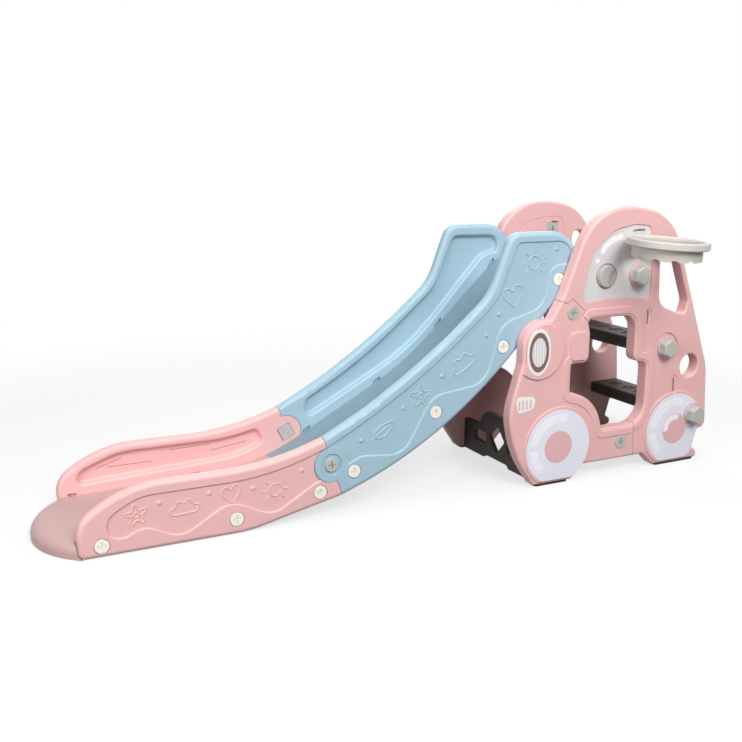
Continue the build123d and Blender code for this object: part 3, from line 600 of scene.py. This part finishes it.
for side, hand in sides.items():
    face = hand * layout["wallField"]
    for wall, look in wallBeads.items():
        lines = [line for motif in look["motifs"] for line in placed(*motif)]
        bead = beadLines(f"{side}_{wall}_motifs", lines, wallRelief["bead"], lambda u, v: at(u, face, v))
        settle(bead, look["finish"])
        domes = join(f"{side}_{wall}_bubbles", [bubbleAt(*spot, hand) for spot in look["bubbles"]])
        settle(domes, look["finish"])
print("wall motifs raised")

# treads: a row of raised motifs for grip
treadRow = {"motifs": ["flower", "star", "flower", "star", "flower"], "size": 0.023, "bead": 0.0016}
for tread in ("lower_step", "upper_step", "top_platform"):
    low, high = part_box(tread)
    gap = (high.y - low.y) / (len(treadRow["motifs"]) + 1)
    lines = []
    for index, motif in enumerate(treadRow["motifs"]):
        lines += placed(motif, (low.x + high.x) / 2, low.y + gap * (index + 1), treadRow["size"])
    bead = beadLines(tread + "_grips", lines, treadRow["bead"], lambda u, v: Vector((u, v, high.z)))
    settle(bead, "darkTread")
print("tread grips raised")

# thin moulding slits in the lower walls' inner pockets, drawn as flat dark pink strips of painted shade inside
# the slits, each from (x, z) to (x, z)
slits = {"wide": 0.0013, "rounding": 0.4, "thick": 0.0003,
         "runs": [(0.271, 0.124, 0.379, 0.126), (0.381, 0.108, 0.479, 0.120), (0.109, 0.100, 0.224, 0.100),
                  (0.080, 0.100, 0.146, 0.120)]}
for side, hand in sides.items():
    level = layout["pocketFloor"] - slits["thick"]
    strips = [stripKnots(*run, slits["wide"], slits["rounding"]) for run in slits["runs"]]
    slit = flatPlate(side + "_pocket_slit_shade", strips, hand, level, slits["thick"])
    settle(slit, "slitShade")
print("pocket slits set")

# camera at the photo's angle
cameraView = {"spot": (-0.25786, -2.14141, 0.86746), "turn": -25.88, "tilt": 77.04, "roll": 0.14, "lens": 44.45,
              "sensor": 36}
bpy.ops.object.camera_add()
camera = bpy.context.object
camera.data.lens = cameraView["lens"]
camera.data.sensor_width = cameraView["sensor"]
stand = Matrix.Translation(at(*cameraView["spot"]))
for angle, axis in (("turn", "Z"), ("tilt", "X"), ("roll", "Z")):
    stand = stand @ Matrix.Rotation(radians(cameraView[angle]), 4, axis)
camera.matrix_world = stand
bpy.context.scene.camera = camera

# soft studio light: a wide lamp high in front, weaker ones overhead, past the chute's foot and behind
lampAim = Vector((0.1, 0, 0.3))
studioLamps = {
    "keyLamp": {"spot": (0.1, -3.4, 3.3), "size": 2.2, "power": 178},
    "topLamp": {"spot": (0.2, -0.2, 3.3), "size": 1.8, "power": 34},
    "fillLamp": {"spot": (-3.2, -1.7, 1.5), "size": 2.0, "power": 66},
    "backLamp": {"spot": (1.7, 3.4, 2.0), "size": 2.6, "power": 66},
}
for name, look in studioLamps.items():
    bpy.ops.object.light_add(type="AREA", location=look["spot"])
    light = bpy.context.object
    light.name = name
    light.data.energy = look["power"]
    light.data.size = look["size"]
    light.rotation_euler = (lampAim - light.location).to_track_quat("-Z", "Y").to_euler()

# a dim even room and a paper floor that fades to white away from the object
room = {"light": 0.03, "seenLight": 1.0, "floorSize": 30, "floorTone": 0.92, "bounceTone": 0.15,
        "clearFrom": 1.3, "clearTo": 2.6, "shadowKept": 0.30}


# rays that show the backdrop itself: straight, mirrored or through glass
def seenRays(tree, x, y):
    rays = addNode(tree, "ShaderNodeLightPath", x, y).outputs
    either = mathNode(tree, "MAXIMUM", x + 200, y, rays["Is Camera Ray"], rays["Is Glossy Ray"])
    return mathNode(tree, "MAXIMUM", x + 400, y, either, rays["Is Transmission Ray"])


def grey(tone):
    return (tone, tone, tone, 1)


world = bpy.data.worlds.new("studioRoom")
bpy.context.scene.world = world
world.use_nodes = True
tree = world.node_tree
brightness = addNode(tree, "ShaderNodeMapRange", -120, 0,
                     {"Value": seenRays(tree, -700, 0), "To Min": room["light"], "To Max": room["seenLight"]})
feed(tree.nodes["Background"], {"Color": grey(1), "Strength": brightness.outputs["Result"]})

clearSelection()
bpy.ops.mesh.primitive_plane_add(size=room["floorSize"], location=(0, 0, 0))
floor = bpy.context.object
floor.name = "studio_floor"
paper = bpy.data.materials.new("floorPaper")
paper.use_nodes = True
tree = paper.node_tree
tree.nodes.remove(tree.nodes["Principled BSDF"])
seen = seenRays(tree, -900, 300)
floorPlace = addNode(tree, "ShaderNodeTexCoord", -1100, 0).outputs["Object"]
away = addNode(tree, "ShaderNodeVectorMath", -900, 0, {0: floorPlace}, operation="LENGTH")
clearing = addNode(tree, "ShaderNodeMapRange", -700, 0,
                   {"Value": away.outputs["Value"], "From Min": room["clearFrom"], "From Max": room["clearTo"],
                    "To Min": 1 - room["shadowKept"], "To Max": 1}, interpolation_type="SMOOTHSTEP")
paperTone = addNode(tree, "ShaderNodeMix", -400, 100,
                    {"Factor": seen, "A": grey(room["bounceTone"]), "B": grey(room["floorTone"])},
                    data_type="RGBA")
matt = addNode(tree, "ShaderNodeBsdfDiffuse", -200, 100, {"Color": paperTone.outputs["Result"]})
glow = addNode(tree, "ShaderNodeEmission", -200, -100)
faded = mathNode(tree, "MULTIPLY", -300, 300, seen, clearing.outputs["Result"])
blendFloor = addNode(tree, "ShaderNodeMixShader", 40, 0,
                     {"Fac": faded, 1: matt.outputs["BSDF"], 2: glow.outputs["Emission"]})
feed(tree.nodes["Material Output"], {"Surface": blendFloor.outputs["Shader"]})
floor.data.materials.append(paper)
bpy.context.scene.view_settings.view_transform = "Standard"
print("camera, lamps and floor set")
